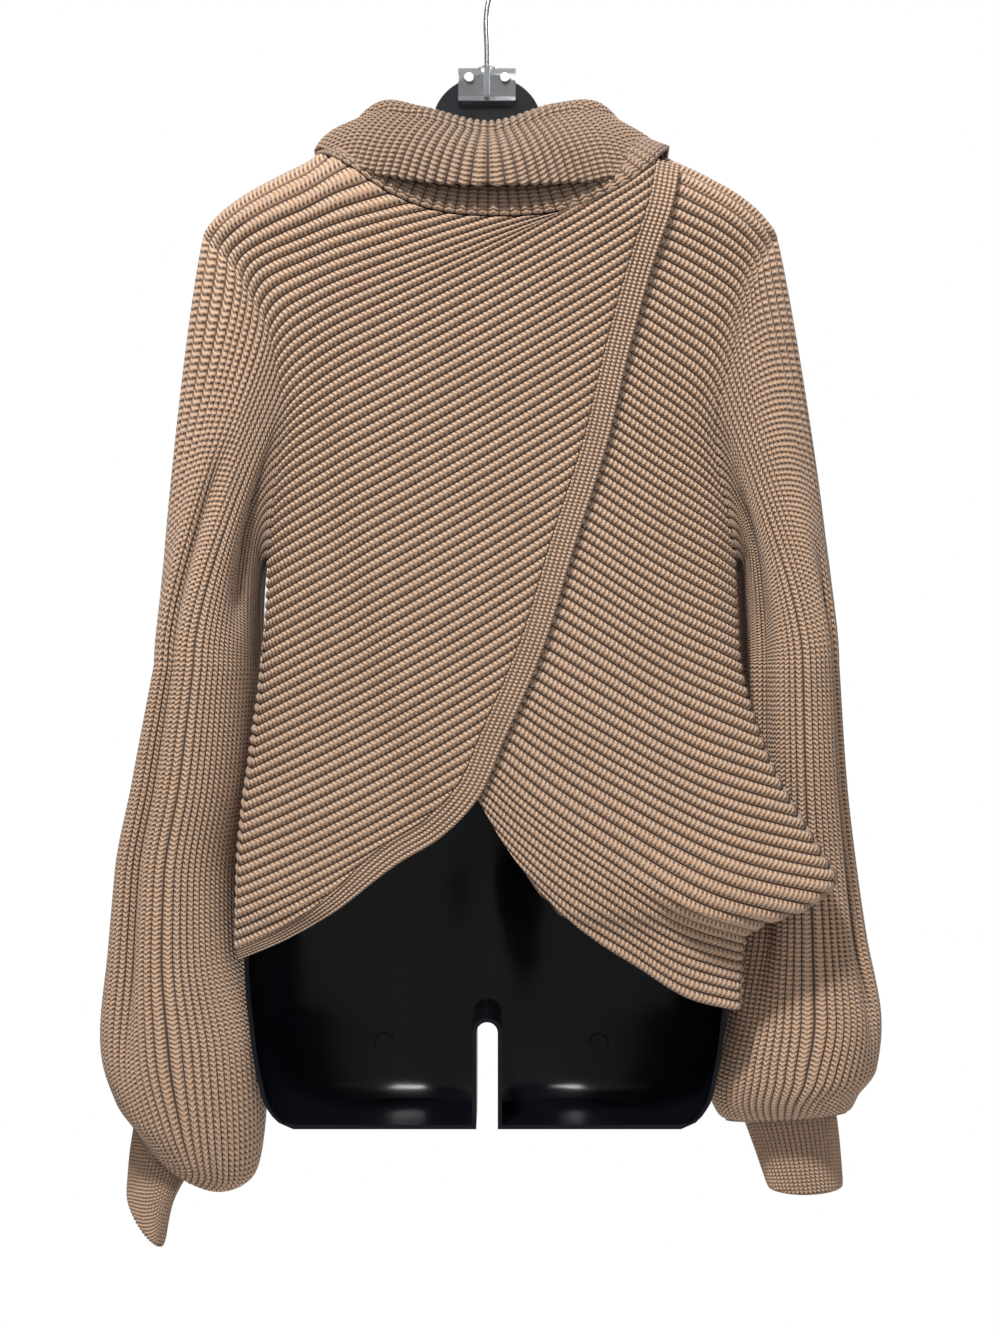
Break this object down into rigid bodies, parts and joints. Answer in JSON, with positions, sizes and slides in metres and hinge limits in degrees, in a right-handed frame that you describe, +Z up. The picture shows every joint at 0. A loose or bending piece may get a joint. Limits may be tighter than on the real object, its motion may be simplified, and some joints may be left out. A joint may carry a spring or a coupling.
{
  "type": "wrap sweater on hanging torso form",
  "caption": "Chunky rib-knit wrap sweater with a fold-over collar and balloon sleeves, hung on a hollow-backed torso form with a wire hook.",
  "frame": {"origin": "inside top of the hook, where a rail carries it", "axes": "+Z up, -Y out of the wrap side that the picture shows, +X to the viewer's right"},
  "size_m": [0.5632, 0.2036, 0.9367],
  "materials": {
    "knit": "chunky wool rib knit",
    "form_shell": "glossy black",
    "clamp_plastic": "clear",
    "hook_wire": "bright wire",
    "screw_steel": "plain"
  },
  "bodies": {
    "root": {"under_wrap_right": "knit", "over_wrap_left": "knit", "over_wrap_band": "knit", "plain_side": "knit", "sleeve_left": "knit", "sleeve_right": "knit", "cuff_left": "knit", "cuff_right": "knit", "collar": "knit", "torso_form": "form_shell", "hook": "hook_wire", "hook_clamp": "clamp_plastic", "clamp_screw_left": "screw_steel", "clamp_screw_right": "screw_steel"}
  },
  "joints": []
}
